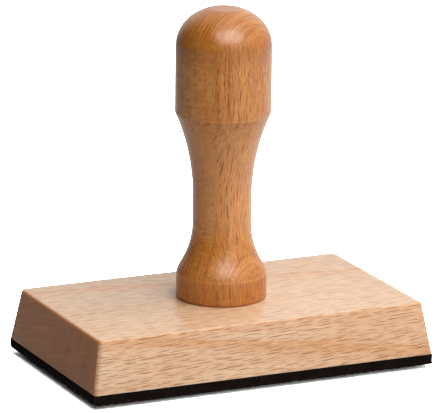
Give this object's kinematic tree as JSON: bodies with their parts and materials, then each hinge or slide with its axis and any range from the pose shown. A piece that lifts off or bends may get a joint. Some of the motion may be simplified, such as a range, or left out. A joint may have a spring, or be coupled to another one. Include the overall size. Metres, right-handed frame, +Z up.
{
  "type": "rubber stamp",
  "caption": "Hand stamp: a turned wooden handle screwed to a wooden block with sloping sides, with a foam cushion and a rubber die under it, for printing a form by hand.",
  "frame": {"origin": "under the middle of the block, on the surface that the stamp stands on", "axes": "+X along the block's length, +Y from front to back, +Z up along the handle's axis"},
  "size_m": [0.106, 0.0624, 0.1041],
  "materials": {
    "bare_beech": "matte",
    "lacquered_beech": "satin",
    "foam": "matte",
    "die_rubber": "matte",
    "adhesive_film": "satin",
    "screw_steel": "satin"
  },
  "bodies": {
    "root": {"rubber_die": "die_rubber", "die_film": "adhesive_film", "cushion": "foam", "cushion_film": "adhesive_film", "base_block": "bare_beech", "handle_screw": "screw_steel", "handle": "lacquered_beech"}
  },
  "joints": []
}
